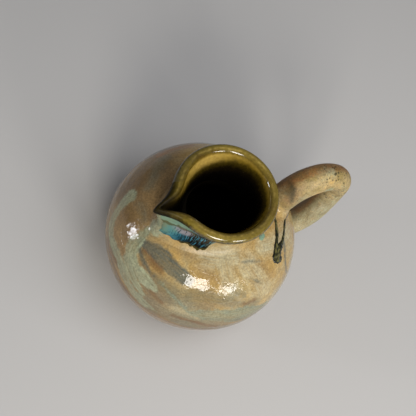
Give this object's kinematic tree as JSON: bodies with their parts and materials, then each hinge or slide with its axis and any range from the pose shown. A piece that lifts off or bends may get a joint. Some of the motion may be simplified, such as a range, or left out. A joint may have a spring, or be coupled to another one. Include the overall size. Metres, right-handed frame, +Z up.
{
  "type": "spouted stoneware pitcher",
  "caption": "Squat round stoneware pitcher with a short flared neck, a rolled lip, a narrow pinched spout and a thick loop handle, for pouring drinks.",
  "frame": {"origin": "centre of the foot ring's resting face, on the table", "axes": "+X towards the handle, +Z up; the spout points to -X, turned a little towards -Y"},
  "size_m": [0.162, 0.13, 0.1243],
  "materials": {
    "tan_stoneware": "satin tan glaze with brown and pale green brushing",
    "olive_glaze": "gloss olive amber glaze",
    "liner_glaze": "gloss dark brown glaze",
    "turquoise_glaze": "gloss streaked turquoise glaze",
    "dark_run_glaze": "gloss dark green glaze"
  },
  "bodies": {
    "root": {"globe": "tan_stoneware", "collar": "tan_stoneware", "handle": "tan_stoneware", "upper_root_wad": "tan_stoneware", "lower_root_wad": "tan_stoneware", "liner_glaze": "liner_glaze", "lip_glaze": "olive_glaze", "spout_glaze_run": "turquoise_glaze", "root_glaze_run": "dark_run_glaze"}
  },
  "joints": []
}
